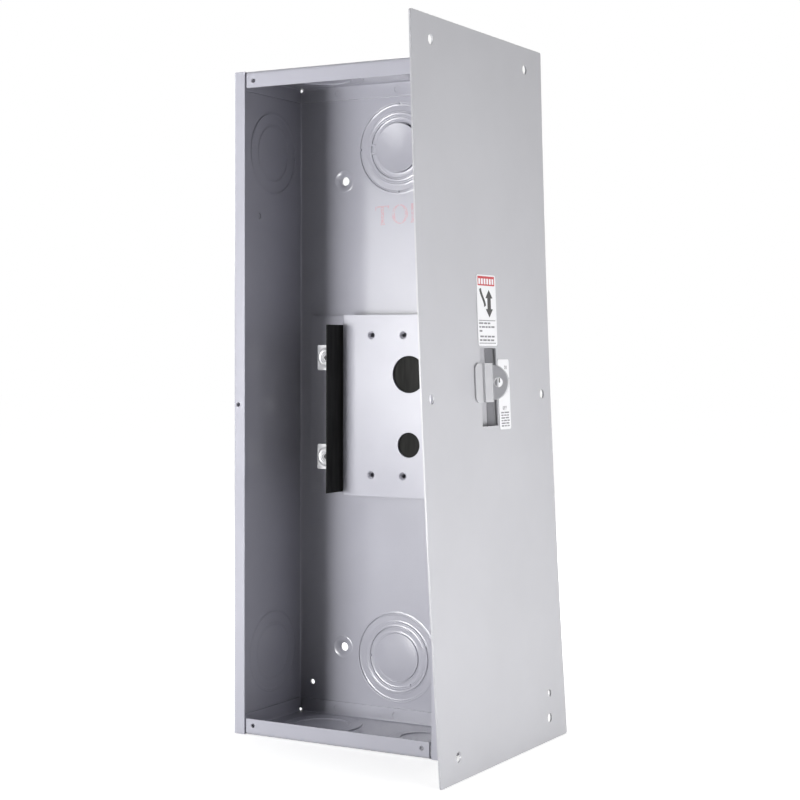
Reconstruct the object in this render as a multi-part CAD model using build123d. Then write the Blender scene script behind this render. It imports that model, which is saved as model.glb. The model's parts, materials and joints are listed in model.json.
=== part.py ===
from build123d import *
import math
import os

# Box: outside sizes, sheet and folds
box_height = 457.0
box_width = 166.7
box_depth = 84.7
sheet = 1.5
bend_radius = 1.0
side_flange = 9.5
cap_flange = 11.2
flange_gap = 1.5
corner_relief = 3.0
seam = 0.1

# Cover screws: tapped holes in the front flanges
cap_screw_from_side = 16.6
cap_screw_from_end = 6.6
side_screw_from_edge = 4.2
flange_hole_radius = 1.6

# Knockouts: trade-size rings half-sheared in or out, largest first
knockout_step = 0.6
slug_rise = 0.9
ring_lean = 1.2
shear_grip = 0.02
tie_width = 1.3
tie_length = 1.8
tie_rise = 0.35
upper_tie_angles = (0, 90, 180, 270)
upper_bridge_angles = (172, 188)
lower_tie_angles = (60, 180, 300)
back_ring_diameters = (62.7, 50.4, 44.0, 34.6)
gutter_ring_diameters = (56.5, 39.0)
end_small_ring_diameters = (44.0, 28.2)
back_knockout_from_end = 47.5
side_knockout_from_end = 50.8
gutter_knockout_from_front = 47.0
end_knockout_from_middle = 40.0

# Wall screws: dished feet pressed out of the back
wall_hole_radius = 3.1
wall_hole_spacing = 90.0
wall_hole_low = 51.0
wall_hole_high = 388.0
foot_depth = 2.0
foot_rim_radius = 8.0
foot_pad_radius = 5.5
foot_draft = 0.8

# Small holes of the box
drain_hole_radius = 1.85
drain_hole_from_side = 12.3
drain_hole_from_end = 23.4
side_dimple_radius = 2.2
side_dimple_depth = 0.7
side_dimple_from_front = 29.4
side_dimple_height = 360.6
slot_window_width = 6.0
slot_window_height = 10.7
slot_window_from_plate = 18.4
slot_window_above_pan = 62.5
corner_hole_radius = 1.2
corner_hole_from_end = 1.9
weld_dent_radius = 2.4
weld_dent_depth = 0.3
weld_dent_spacing = 98.0

# Mounting pan: hat section on the back wall
pan_bottom = 163.1
pan_height = 128.3
pan_standoff = 15.0
pan_plate_width = 74.7
pan_foot_from_side = 11.5
breaker_hole_radius = 2.0
breaker_hole_across = 25.8
breaker_hole_up = 98.8
breaker_hole_above_pan = 15.1
breaker_hole_lead_in = 0.9
collar_wall = 1.2
collar_length = 2.2
pan_window_from_middle = 17.6
pan_window_radii = (13.0, 8.8)
pan_window_above_pan = (86.5, 37.1)

# Black fibre pieces
fibre = 0.8
barrier_forward = 19.4
barrier_above_pan = 2.3
barrier_below_top = 7.1
barrier_from_foot = 1.8
insulator_inset = 3.4
insulator_hole_clearance = 0.4
barrier_rivet_spacing = 84.0
rivet_radius = 1.6
rivet_head_radius = 3.2
rivet_head_height = 1.1
rivet_clearance = 0.05

# Ground lugs on the pan's left foot
lug_width = 15.0
lug_height = 18.0
lug_depth = 13.0
lug_from_plate = 13.0
lugs_above_pan = (26.9, 97.9)
lug_corner = 0.8
wire_hole_radius = 3.6
wire_hole_behind = 2.05
lug_collar_radius = 6.0
lug_collar_height = 0.8
set_screw_radius = 3.0
set_screw_clearance = 0.05
set_screw_length = 3.6
set_screw_recess = 0.3
set_screw_socket = 3.2
set_screw_socket_depth = 2.2
stake_radius = 2.5

# Cover, leaning on the box
cover_past_ends = 8.55
cover_overhang_left = 8.3
cover_overhang_right = 9.6
cover_sheet = 1.2
cover_bow = 2.6
cover_corner = 1.5
cover_hole_radius = 3.2
cover_lean = 2.82
cover_front_end = -108.8
cover_to_box = 0.3
spare_hole_radius = 2.4
spare_hole_from_right = 24.3
spare_hole_up = 31.8

# Slot in the cover
slot_left = 79.5
slot_width = 22.7
slot_bottom = 217.7
slot_height = 50.8
slot_corner = 0.8

# Labels
label_thickness = 0.2
label_glue = 0.13
label_corner = 2.0
data_label_width = 27.1
data_label_height = 46.2
data_label_from_slot = 1.4
data_label_past_slot = 2.2
position_label_width = 16.5
position_label_height = 46.3
position_label_from_slot = 1.4
position_label_below_slot = 2.9

# Guide channel behind the slot
guide_sheet = 1.2
guide_depth = 15.5
guide_past_shutter = 1.5
guide_margin = 0.5
guide_flange = 9.0
ledge_reach = 2.5
ledge_length = 8.0
ledge_spacing = 52.0

# Sliding handle
handle_height = 25.3
handle_rest_travel = 16.25
travel_end_gap = 1.0
running_gap = 0.3
side_gap = 0.4
base_sheet = 1.0
base_past_slot = 9.5
base_corner = 4.0
tab_sheet = 1.85
tab_from_slot = 9.5
tab_round_radius = 11.4
padlock_hole_radius = 3.2
padlock_hole_above_foot = 4.4
spacer_from_slot = 0.9
spacer_width = 9.0
spacer_height = 22.0
shutter_depth = 8.3
shutter_sheet = 1.2
shutter_overlap = 2.0
fork_sheet = 1.2
fork_width = 12.0
fork_gap = 13.0
fork_from_box = 0.8
fork_window_margin = 1.5
handle_rivet_spacing = 6.0
handle_rivet_radius = 1.5
handle_rivet_head_radius = 2.1
handle_rivet_head_height = 0.9
handle_rivet_grip = 1.2

# Planes and faces that several pieces share
left_x = -box_width / 2
front_y = -box_depth / 2
back_y = box_depth / 2
back_inside_y = back_y - sheet
pan_foot_front_y = back_inside_y - seam - sheet
pan_front_y = back_inside_y - pan_standoff
pan_edge_x = -pan_plate_width / 2
barrier_height = pan_height - barrier_above_pan - barrier_below_top
slot_window_middle = pan_bottom + slot_window_above_pan
lug_middles = [pan_bottom + above for above in lugs_above_pan]
lug_x = pan_edge_x - lug_from_plate
lug_back_y = pan_foot_front_y - seam
lug_front_y = lug_back_y - lug_depth
cover_width = box_width + cover_overhang_left + cover_overhang_right
cover_height = box_height + 2 * cover_past_ends
slot_right = slot_left + slot_width
slot_top = slot_bottom + slot_height
slot_middle = slot_bottom + slot_height / 2
travel = slot_height - spacer_height - 2 * travel_end_gap
travel_down = handle_rest_travel
travel_up = travel - handle_rest_travel
handle_middle = slot_bottom + travel_end_gap + spacer_height / 2 + handle_rest_travel
shutter_bottom = slot_bottom - travel_up - shutter_overlap
shutter_top = slot_top + travel_down + shutter_overlap
guide_bottom = shutter_bottom - guide_past_shutter
guide_top = shutter_top + guide_past_shutter
guide_left = slot_left - guide_margin
guide_right = slot_right + guide_margin
base_top = running_gap + base_sheet
foot_top = base_top + tab_sheet
tab_face = slot_left + tab_from_slot
shutter_back = -shutter_depth - shutter_sheet
fork_front = shutter_back - seam
guide_back = -cover_sheet - guide_depth
rivet_middle = slot_left + spacer_from_slot + spacer_width / 2
barrier_right_x = pan_edge_x - seam
barrier_rivet_y = (pan_front_y + pan_foot_front_y) / 2

# Frame of the leaning cover: across, up and outwards, from its outer bottom corner nearest the viewer
lean = math.radians(cover_lean)
guide_behind_ends = cover_bow - guide_back
cover_plane = Plane(
    origin=(
        box_width / 2 + cover_to_box + guide_top * math.sin(lean) + guide_behind_ends * math.cos(lean),
        cover_front_end,
        cover_sheet * math.sin(lean),
    ),
    x_dir=(0, 1, 0),
    z_dir=(math.cos(lean), 0, math.sin(lean)),
)

# The cover's middle bows towards the box; the slot's pieces stand on its face there
bow_radius = cover_height**2 / (8 * cover_bow) + cover_bow / 2
slot_plane = cover_plane.offset(-cover_bow)


def folded(points, thickness):
    """Cross-section of a sheet folded along points at its mid-thickness, with rounded bends."""
    middle_line = FilletPolyline(*points, radius=bend_radius + thickness / 2)
    return trace(middle_line, line_width=thickness)


def drill(radius, length, at, direction):
    """Round cutter of a given length, centred on a point and lying along a direction."""
    return Plane(at, z_dir=direction) * Cylinder(radius, length)


def block(low, high):
    """Rectangular solid between two opposite corners."""
    size = [b - a for a, b in zip(low, high)]
    middle = [(a + b) / 2 for a, b in zip(low, high)]
    return Pos(*middle) * Box(*size)


def press_knockout(wall, outside, diameters, cut_from, add_from):
    """Half-shears alternate rings: a step's depth comes off at one height and is added at another."""
    for outer, inner in zip(diameters[0::2], diameters[1::2]):
        ring = extrude(Circle(outer / 2) - Circle(inner / 2), knockout_step)
        wall = wall - outside * Pos(0, 0, cut_from) * ring
        wall = wall + outside * Pos(0, 0, add_from) * ring
    return wall


def press_knockout_in(wall, outside, diameters):
    """Rings stepped into the box; outside's normal points inwards."""
    return press_knockout(wall, outside, diameters, 0, sheet)


def press_knockout_out(wall, outside, diameters):
    """Rings stepped out of the box; outside's normal points inwards."""
    return press_knockout(wall, outside, diameters, sheet - knockout_step, -knockout_step)


def lean_knockout(wall, outside, diameters):
    """Ring and slug that each lean a little further, turned about the plane's first axis."""
    largest, smallest = diameters
    middle = Pos(0, 0, sheet / 2)
    ring = extrude(Circle(largest / 2 + shear_grip) - Circle(smallest / 2), 2 * sheet, both=True)
    slug = extrude(Circle(smallest / 2 + shear_grip), 2 * sheet, both=True)
    wall = wall - outside * middle * Cylinder(largest / 2, sheet)
    for turns, plug in ((1, ring), (2, slug)):
        leaning = middle * Rot(turns * ring_lean, 0, 0) * Box(2 * largest, 2 * largest, sheet)
        wall = wall + outside * (plug & leaning)
    return wall


def dome_slug(wall, outside, diameter):
    """Swells a knockout's middle slug into the box; outside's normal points inwards."""
    radius = diameter / 2
    ball_radius = (radius**2 + slug_rise**2) / (2 * slug_rise)
    ball_middle = slug_rise - ball_radius
    column = Pos(0, 0, sheet / 2) * Cylinder(radius, sheet)
    tall_column = Pos(0, 0, sheet) * Cylinder(radius, 2 * sheet)
    outer_ball = Pos(0, 0, ball_middle) * Sphere(ball_radius)
    inner_ball = Pos(0, 0, sheet) * outer_ball
    slug = (tall_column & inner_ball) - outer_ball
    return wall - outside * column + outside * slug


def tie_rings(wall, outside, radius, length, angles):
    """Leaves small raised bridges across a ring's edge; outside's normal points inwards."""
    height = sheet + tie_rise
    for angle in angles:
        wall += outside * Rot(0, 0, angle) * Pos(radius, 0, height / 2) * Box(length, tie_width, height)
    return wall


def press_wall_foot(wall, outside):
    """Dishes the back outwards round a wall screw's hole; outside's normal points inwards."""
    section = Polyline(
        (wall_hole_radius, -foot_depth),
        (foot_pad_radius, -foot_depth),
        (foot_rim_radius, 0),
        (foot_rim_radius, sheet),
        (foot_rim_radius - foot_draft, sheet),
        (foot_pad_radius - foot_draft, sheet - foot_depth),
        (wall_hole_radius, sheet - foot_depth),
        close=True,
    )
    dish = revolve(Plane.XZ * make_face(section), Axis.Z)
    opening = Pos(0, 0, sheet / 2) * Cylinder(foot_rim_radius, sheet)
    return wall - outside * opening + outside * dish


def box_wrapper():
    """Left side, back and right side folded from one sheet, with front flanges turned in."""
    outer_bend = bend_radius + sheet
    ring = RectangleRounded(box_width, box_depth, outer_bend)
    ring -= RectangleRounded(box_width - 2 * sheet, box_depth - 2 * sheet, bend_radius)
    ring -= Pos(0, front_y) * Rectangle(box_width - 2 * side_flange, 2 * outer_bend)
    wrapper = extrude(ring, box_height) - slot_window()

    drain_at = (left_x + drain_hole_from_side, back_y, drain_hole_from_end)
    wrapper -= drill(drain_hole_radius, 4 * sheet, drain_at, (0, 1, 0))
    for side in (-1, 1):
        outside_x = side * box_width / 2
        dimple_at = (outside_x - side * sheet, front_y + side_dimple_from_front, side_dimple_height)
        wrapper -= drill(side_dimple_radius, 2 * side_dimple_depth, dimple_at, (1, 0, 0))
        screw_at = (outside_x - side * side_screw_from_edge, front_y, box_height / 2)
        wrapper -= drill(flange_hole_radius, 4 * sheet, screw_at, (0, 1, 0))
        for z in (corner_hole_from_end, box_height - corner_hole_from_end):
            corner_at = (outside_x - side * sheet, back_inside_y, z)
            wrapper -= drill(corner_hole_radius, 4 * sheet, corner_at, (side, 1, 0))

    for z in (wall_hole_low, wall_hole_high):
        for side in (-1, 1):
            outside = Plane((side * wall_hole_spacing / 2, back_y, z), z_dir=(0, -1, 0))
            wrapper = press_wall_foot(wrapper, outside)

    largest, _, third, slug = back_ring_diameters
    lower = Plane((0, back_y, back_knockout_from_end), (1, 0, 0), (0, -1, 0))
    upper = Plane((0, back_y, box_height - back_knockout_from_end), (1, 0, 0), (0, -1, 0))
    for outside in (lower, upper):
        wrapper = press_knockout_out(wrapper, outside, back_ring_diameters)
        wrapper = dome_slug(wrapper, outside, slug)
    wrapper = tie_rings(wrapper, upper, largest / 2, tie_length, upper_tie_angles)
    wrapper = tie_rings(wrapper, upper, (third + slug) / 4, (third - slug) / 2, upper_bridge_angles)
    wrapper = tie_rings(wrapper, lower, third / 2, tie_length, lower_tie_angles)

    for side in (-1, 1):
        for z, rise in ((side_knockout_from_end, -1), (box_height - side_knockout_from_end, 1)):
            at = (side * box_width / 2, front_y + gutter_knockout_from_front, z)
            outside = Plane(at, (0, 1, rise), (-side, 0, 0))
            wrapper = lean_knockout(wrapper, outside, gutter_ring_diameters)
    return wrapper


def slot_window():
    """Cutter for the upright slot through the pan's left foot and the back."""
    x = pan_edge_x - slot_window_from_plate
    low = (x - slot_window_width / 2, pan_foot_front_y - sheet, slot_window_middle - slot_window_height / 2)
    high = (x + slot_window_width / 2, back_y + sheet, slot_window_middle + slot_window_height / 2)
    return block(low, high)


def bottom_end_cap():
    """Flanged end nested in the wrapper: web on the floor, flanges turned up, rings in the web."""
    mid = sheet / 2
    front_mid = front_y + mid
    back_mid = back_inside_y - seam - mid
    side_mid = box_width / 2 - sheet - seam - mid
    front_half = box_width / 2 - side_flange - flange_gap
    back_half = box_width / 2 - sheet - seam - corner_relief
    side_front = front_y + sheet + bend_radius + seam
    side_back = back_inside_y - seam - corner_relief

    front_fold = folded([(front_mid, cap_flange), (front_mid, mid), (0, mid)], sheet)
    back_fold = folded([(0, mid), (back_mid, mid), (back_mid, cap_flange)], sheet)
    side_fold = folded(
        [(-side_mid, cap_flange), (-side_mid, mid), (side_mid, mid), (side_mid, cap_flange)], sheet
    )
    cap = extrude(Plane.YZ * front_fold, front_half, both=True)
    cap += extrude(Plane.YZ * back_fold, back_half, both=True)
    cap += extrude(Plane((0, side_back, 0), (1, 0, 0), (0, -1, 0)) * side_fold, side_back - side_front)

    knockout_y = front_y + gutter_knockout_from_front
    cap = press_knockout_in(cap, Plane((-end_knockout_from_middle, knockout_y, 0)), gutter_ring_diameters)
    cap = press_knockout_in(cap, Plane((end_knockout_from_middle, knockout_y, 0)), end_small_ring_diameters)
    for side in (-1, 1):
        screw_at = (side * (box_width / 2 - cap_screw_from_side), front_y, cap_screw_from_end)
        cap -= drill(flange_hole_radius, 4 * sheet, screw_at, (0, 1, 0))
    weld_y = back_mid - mid
    for x in (-weld_dent_spacing / 2, 0, weld_dent_spacing / 2):
        cap -= drill(weld_dent_radius, 2 * weld_dent_depth, (x, weld_y, cap_flange / 2 + mid), (0, 1, 0))
    return cap


def top_end_cap():
    """The same end, turned over."""
    return mirror(bottom_end_cap(), about=Plane.XY.offset(box_height / 2))


def breaker_holes():
    """Places of the breaker's screws across and up the pan."""
    low = pan_bottom + breaker_hole_above_pan
    return [
        (side * breaker_hole_across / 2, z)
        for side in (-1, 1)
        for z in (low, low + breaker_hole_up)
    ]


def mounting_pan():
    """Hat-section plate that holds the breaker off the back, with extruded screw holes."""
    foot_end = box_width / 2 - pan_foot_from_side
    foot_mid = pan_foot_front_y + sheet / 2
    riser_mid = pan_plate_width / 2 - sheet / 2
    plate_mid = pan_front_y + sheet / 2
    hat = folded(
        [
            (-foot_end, foot_mid),
            (-riser_mid, foot_mid),
            (-riser_mid, plate_mid),
            (riser_mid, plate_mid),
            (riser_mid, foot_mid),
            (foot_end, foot_mid),
        ],
        sheet,
    )
    pan = Pos(0, 0, pan_bottom) * extrude(hat, pan_height)

    collar_y = pan_front_y + sheet + collar_length / 2
    for x, z in breaker_holes():
        pan += drill(breaker_hole_radius + collar_wall, collar_length, (x, collar_y, z), (0, 1, 0))
        pan -= drill(breaker_hole_radius, 4 * collar_length, (x, collar_y, z), (0, 1, 0))
        lead_in_at = (x, pan_front_y + breaker_hole_lead_in / 2, z)
        lead_in = Cone(breaker_hole_radius + breaker_hole_lead_in, breaker_hole_radius, breaker_hole_lead_in)
        pan -= Plane(lead_in_at, z_dir=(0, 1, 0)) * lead_in
    for radius, above in zip(pan_window_radii, pan_window_above_pan):
        at = (pan_window_from_middle, pan_front_y, pan_bottom + above)
        pan -= drill(radius, 4 * sheet, at, (0, 1, 0))
    for z in lug_middles:
        pan -= drill(stake_radius + seam, 4 * sheet, (lug_x, pan_foot_front_y, z), (0, 1, 0))
    for at in barrier_rivet_points():
        pan -= drill(rivet_radius + rivet_clearance, 4 * sheet, at, (1, 0, 0))
    return pan - slot_window()


def rear_insulator():
    """Fibre sheet behind the pan's plate, pushed over the collars of the screw holes."""
    half = pan_plate_width / 2 - sheet - insulator_inset
    front = pan_front_y + sheet + seam
    low = (-half, front, pan_bottom + insulator_inset)
    high = (half, front + fibre, pan_bottom + pan_height - insulator_inset)
    leaf = block(low, high)
    hole = breaker_hole_radius + collar_wall + insulator_hole_clearance
    for x, z in breaker_holes():
        leaf -= drill(hole, 4 * fibre, (x, front, z), (0, 1, 0))
    return leaf


def barrier_rivet_points():
    """Places of the barrier's rivets on the pan's left riser."""
    middle = pan_bottom + barrier_above_pan + barrier_height / 2
    return [
        (pan_edge_x, barrier_rivet_y, middle + side * barrier_rivet_spacing / 2)
        for side in (-1, 1)
    ]


def lug_barrier():
    """Fibre strip riveted to the pan's left riser, standing forward of its plate."""
    bottom = pan_bottom + barrier_above_pan
    low = (barrier_right_x - fibre, pan_front_y - barrier_forward, bottom)
    high = (barrier_right_x, pan_foot_front_y - barrier_from_foot, bottom + barrier_height)
    strip = block(low, high)
    for at in barrier_rivet_points():
        strip -= drill(rivet_radius + rivet_clearance, 4 * sheet, at, (1, 0, 0))
    return strip


def barrier_rivets():
    """Round-headed rivets through the barrier and the pan's riser."""
    head_x = barrier_right_x - fibre
    tail_x = pan_edge_x + sheet
    section = Polyline(
        (0, tail_x),
        (rivet_radius, tail_x),
        (rivet_radius, head_x),
        (rivet_head_radius, head_x),
        (rivet_head_radius * math.cos(math.pi / 4), head_x - rivet_head_height * math.sin(math.pi / 4)),
        (0, head_x - rivet_head_height),
        close=True,
    )
    rivet = revolve(Plane.XZ * make_face(section), Axis.Z)
    return Compound([Plane((0, y, z), z_dir=(1, 0, 0)) * rivet for _, y, z in barrier_rivet_points()])


def ground_lug(z):
    """Aluminium lug: wire hole up and down, set-screw collar in front, stake through the foot."""
    body = block(
        (lug_x - lug_width / 2, lug_front_y, z - lug_height / 2),
        (lug_x + lug_width / 2, lug_back_y, z + lug_height / 2),
    )
    body = chamfer(body.edges().filter_by(Axis.Y), lug_corner)
    collar_at = (lug_x, lug_front_y - lug_collar_height / 2, z)
    body += drill(lug_collar_radius, lug_collar_height, collar_at, (0, 1, 0))
    stake_length = seam + sheet
    body += drill(stake_radius, stake_length, (lug_x, lug_back_y + stake_length / 2, z), (0, 1, 0))
    wire_y = lug_back_y - wire_hole_behind - wire_hole_radius
    body -= drill(wire_hole_radius, 2 * lug_height, (lug_x, wire_y, z), (0, 0, 1))
    screw_hole_length = wire_y - lug_front_y + lug_collar_height
    screw_hole_at = (lug_x, wire_y - screw_hole_length / 2, z)
    body -= drill(set_screw_radius + set_screw_clearance, screw_hole_length, screw_hole_at, (0, 1, 0))
    return body


def lug_screw(z):
    """Headless set screw with a hexagon socket, backed out clear of the wire hole."""
    front = lug_front_y - lug_collar_height + set_screw_recess
    screw = drill(set_screw_radius, set_screw_length, (lug_x, front + set_screw_length / 2, z), (0, 1, 0))
    socket_plane = Plane((lug_x, front, z), (1, 0, 0), (0, 1, 0))
    socket = extrude(RegularPolygon(set_screw_socket / 2, 6, major_radius=False), set_screw_socket_depth)
    return screw - socket_plane * socket


def cover_holes():
    """Cover-screw holes across and up the cover, opposite the tapped holes of the box."""
    left = cover_overhang_left
    ends = [
        (left + x, cover_past_ends + z)
        for x in (cap_screw_from_side, box_width - cap_screw_from_side)
        for z in (cap_screw_from_end, box_height - cap_screw_from_end)
    ]
    sides = [
        (left + x, cover_past_ends + box_height / 2)
        for x in (side_screw_from_edge, box_width - side_screw_from_edge)
    ]
    return ends + sides


def bow_arc(radius):
    """Arc about the bow's axis, a little longer than the cover, in the plane up and through it."""
    middle = cover_height / 2
    half = middle + cover_sheet
    axis_height = bow_radius - cover_bow
    end_height = axis_height - math.sqrt(radius**2 - half**2)
    return ThreePointArc(
        (middle - half, end_height), (middle, axis_height - radius), (middle + half, end_height)
    )


def bowed(outline, front, thickness):
    """Outline cut from a sheet that follows the cover's bow, its front at a height over the cover's face."""
    section_plane = Plane((0, 0, 0), (0, 1, 0), (1, 0, 0))
    section = trace(bow_arc(bow_radius - front + thickness / 2), line_width=thickness)
    return extrude(section_plane * section, cover_width) & extrude(outline, 2 * cover_bow, both=True)


def cover_plate():
    """Slightly bowed cover with its screw holes and the handle's slot."""
    middle = Pos(cover_width / 2, cover_height / 2)
    outline = middle * RectangleRounded(cover_width, cover_height, cover_corner)
    slot_at = Pos(slot_left + slot_width / 2, slot_middle)
    outline -= slot_at * RectangleRounded(slot_width, slot_height, slot_corner)
    for across, up in cover_holes():
        outline -= Pos(across, up) * Circle(cover_hole_radius)
    outline -= Pos(cover_width - spare_hole_from_right, spare_hole_up) * Circle(spare_hole_radius)
    return cover_plane * bowed(outline, 0, cover_sheet)


def label(left, bottom, width, height):
    """Thin sticker with round corners on the cover's face."""
    outline = Pos(left + width / 2, bottom + height / 2) * RectangleRounded(width, height, label_corner)
    return cover_plane * bowed(outline, label_glue + label_thickness, label_thickness)


def data_label():
    """Sticker above the slot."""
    left = slot_left - data_label_past_slot
    return label(left, slot_top + data_label_from_slot, data_label_width, data_label_height)


def position_label():
    """Sticker beside the slot that marks the handle's positions."""
    left = slot_right + position_label_from_slot
    bottom = slot_bottom - position_label_below_slot
    return label(left, bottom, position_label_width, position_label_height)


def upright_fold(points, thickness, bottom, length):
    """Sheet folded in the plane across and through the cover, running up it from bottom."""
    section_plane = Plane((0, bottom, 0), (1, 0, 0), (0, -1, 0))
    return extrude(section_plane * folded(points, thickness), -length)


def handle_guide():
    """Channel welded behind the slot, with a window for the fork and ledges behind the shutter."""
    mid = guide_sheet / 2
    flange_z = -cover_sheet - seam - mid
    web_z = guide_back + mid
    left = guide_left - mid
    right = guide_right + mid
    channel = upright_fold(
        [
            (left - guide_flange, flange_z),
            (left, flange_z),
            (left, web_z),
            (right, web_z),
            (right, flange_z),
            (right + guide_flange, flange_z),
        ],
        guide_sheet,
        guide_bottom,
        guide_top - guide_bottom,
    )

    fork_half = fork_gap / 2 + fork_sheet + fork_window_margin
    middle = slot_left + slot_width / 2
    window_half = fork_width / 2 + fork_window_margin
    channel -= block(
        (middle - window_half, handle_middle - travel_down - fork_half, guide_back - mid),
        (middle + window_half, handle_middle + travel_up + fork_half, guide_back + 3 * mid),
    )

    ledge_front = shutter_back - running_gap
    ledge_back = ledge_front - guide_sheet
    for up in (slot_middle - ledge_spacing / 2, slot_middle + ledge_spacing / 2):
        low = up - ledge_length / 2
        high = up + ledge_length / 2
        for edge, inward in ((guide_left, 1), (guide_right, -1)):
            outer = edge - inward * guide_sheet
            inner = edge + inward * ledge_reach
            near, far = sorted((outer, edge))
            channel -= block((near, low, ledge_back - ledge_reach), (far, high, ledge_back))
            near, far = sorted((outer, inner))
            channel += block((near, low, ledge_back), (far, high, ledge_front))
    return slot_plane * channel


def handle_rivet_points():
    """Places of the handle's rivets across and up the cover."""
    return [(rivet_middle, handle_middle + side * handle_rivet_spacing / 2) for side in (-1, 1)]


def rivet_holes(piece):
    """Piece with the handle's rivet holes drilled through it, as far as the rivets reach."""
    front = base_top + handle_rivet_grip
    back = 2 * guide_back
    for across, up in handle_rivet_points():
        at = (across, up, (front + back) / 2)
        piece -= drill(handle_rivet_radius + rivet_clearance, front - back, at, (0, 0, 1))
    return piece


def handle_base_plate():
    """Plate that slides on the cover's face, with its two outer corners rounded."""
    left = slot_left - base_past_slot
    right = tab_face + tab_sheet
    bottom = handle_middle - handle_height / 2
    plate = block((left, bottom, running_gap), (right, bottom + handle_height, base_top))
    plate = fillet(plate.edges().filter_by(Axis.Z).group_by(Axis.X)[0], base_corner)
    return slot_plane * rivet_holes(plate)


def handle_tab():
    """Bent tab: a foot on the base plate and a half-round ear with the padlock hole."""
    foot_z = base_top + tab_sheet / 2
    ear_x = tab_face + tab_sheet / 2
    ear_top = foot_top + tab_round_radius
    bottom = handle_middle - handle_height / 2
    tab = upright_fold(
        [(slot_left, foot_z), (ear_x, foot_z), (ear_x, ear_top)], tab_sheet, bottom, handle_height
    )
    foot_space = block(
        (slot_left, bottom, base_top), (tab_face + tab_sheet, bottom + handle_height, foot_top)
    )
    ear_space = drill(tab_round_radius, 2 * slot_width, (ear_x, handle_middle, foot_top), (1, 0, 0))
    tab = tab & (foot_space + ear_space)
    hole_at = (ear_x, handle_middle, foot_top + padlock_hole_above_foot)
    tab -= drill(padlock_hole_radius, 4 * tab_sheet, hole_at, (1, 0, 0))
    return slot_plane * rivet_holes(tab)


def handle_spacer():
    """Block through the slot between the base plate and the shutter."""
    left = slot_left + spacer_from_slot
    low = (left, handle_middle - spacer_height / 2, -shutter_depth)
    high = (left + spacer_width, handle_middle + spacer_height / 2, running_gap)
    return slot_plane * rivet_holes(block(low, high))


def handle_shutter():
    """Plate behind the cover that closes the slot at every position of the handle."""
    low = (guide_left + side_gap, shutter_bottom, shutter_back)
    high = (guide_right - side_gap, shutter_top, -shutter_depth)
    return slot_plane * rivet_holes(block(low, high))


def handle_fork():
    """Folded fork behind the shutter whose two tines hold the breaker's toggle."""
    mid = fork_sheet / 2
    base_z = fork_front - mid
    tip_z = guide_back + fork_from_box
    tine = fork_gap / 2 + mid
    middle = slot_left + slot_width / 2
    section_plane = Plane((middle - fork_width / 2, handle_middle, 0), (0, 1, 0), (1, 0, 0))
    tines = folded([(-tine, tip_z), (-tine, base_z), (tine, base_z), (tine, tip_z)], fork_sheet)
    return slot_plane * rivet_holes(extrude(section_plane * tines, fork_width))


def handle_rivets():
    """Rivets from behind the fork into the tab's foot, with round heads at the back."""
    head_z = fork_front - fork_sheet
    tip_z = base_top + handle_rivet_grip
    head = handle_rivet_head_radius
    section = Polyline(
        (0, tip_z),
        (handle_rivet_radius, tip_z),
        (handle_rivet_radius, head_z),
        (head, head_z),
        (head * math.cos(math.pi / 4), head_z - handle_rivet_head_height * math.sin(math.pi / 4)),
        (0, head_z - handle_rivet_head_height),
        close=True,
    )
    rivet = revolve(Plane.XZ * make_face(section), Axis.Z)
    return slot_plane * Compound([Pos(across, up) * rivet for across, up in handle_rivet_points()])


nodes = {
    "box_wrapper": box_wrapper(),
    "top_end_cap": top_end_cap(),
    "bottom_end_cap": bottom_end_cap(),
    "mounting_pan": mounting_pan(),
    "rear_insulator": rear_insulator(),
    "lug_barrier": lug_barrier(),
    "barrier_rivets": barrier_rivets(),
    "ground_lug_lower": ground_lug(lug_middles[0]),
    "ground_lug_upper": ground_lug(lug_middles[1]),
    "lug_screw_lower": lug_screw(lug_middles[0]),
    "lug_screw_upper": lug_screw(lug_middles[1]),
    "cover_plate": cover_plate(),
    "data_label": data_label(),
    "position_label": position_label(),
    "handle_guide": handle_guide(),
    "handle_base_plate": handle_base_plate(),
    "handle_tab": handle_tab(),
    "handle_spacer": handle_spacer(),
    "handle_shutter": handle_shutter(),
    "handle_fork": handle_fork(),
    "handle_rivets": handle_rivets(),
}

os.makedirs("parts", exist_ok=True)
for name, piece in nodes.items():
    export_step(piece, f"parts/{name}.step")
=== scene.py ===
"""Looks of a flush circuit breaker enclosure: an open painted box and the cover leaning on it.

Lengths are in metres, or in millimetres on the stickers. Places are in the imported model's frame.
"""

import json
import logging
import math
from dataclasses import dataclass, field
from enum import Enum

import bpy
import numpy as np
from mathutils import Matrix, Vector


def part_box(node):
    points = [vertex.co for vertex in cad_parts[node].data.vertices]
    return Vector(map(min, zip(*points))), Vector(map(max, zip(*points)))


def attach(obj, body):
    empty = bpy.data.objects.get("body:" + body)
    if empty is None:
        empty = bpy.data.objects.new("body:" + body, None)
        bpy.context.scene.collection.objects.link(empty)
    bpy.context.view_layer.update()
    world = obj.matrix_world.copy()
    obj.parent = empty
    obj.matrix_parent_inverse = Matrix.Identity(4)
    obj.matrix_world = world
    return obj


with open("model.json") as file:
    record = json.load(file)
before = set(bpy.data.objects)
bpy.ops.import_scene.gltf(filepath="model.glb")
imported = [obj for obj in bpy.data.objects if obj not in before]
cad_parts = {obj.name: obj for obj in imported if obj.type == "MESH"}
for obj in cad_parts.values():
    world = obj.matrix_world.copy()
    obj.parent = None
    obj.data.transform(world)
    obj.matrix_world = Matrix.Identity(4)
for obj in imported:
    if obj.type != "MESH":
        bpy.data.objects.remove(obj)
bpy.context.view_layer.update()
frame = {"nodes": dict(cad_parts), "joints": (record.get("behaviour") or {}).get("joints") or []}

LOG = logging.getLogger("enclosure")
MM = 0.001
CLOUD_RANGE = (0.3, 0.7)
EVEN = (1.0, 1.0, 1.0)
BAR_POINTS = 5
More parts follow.
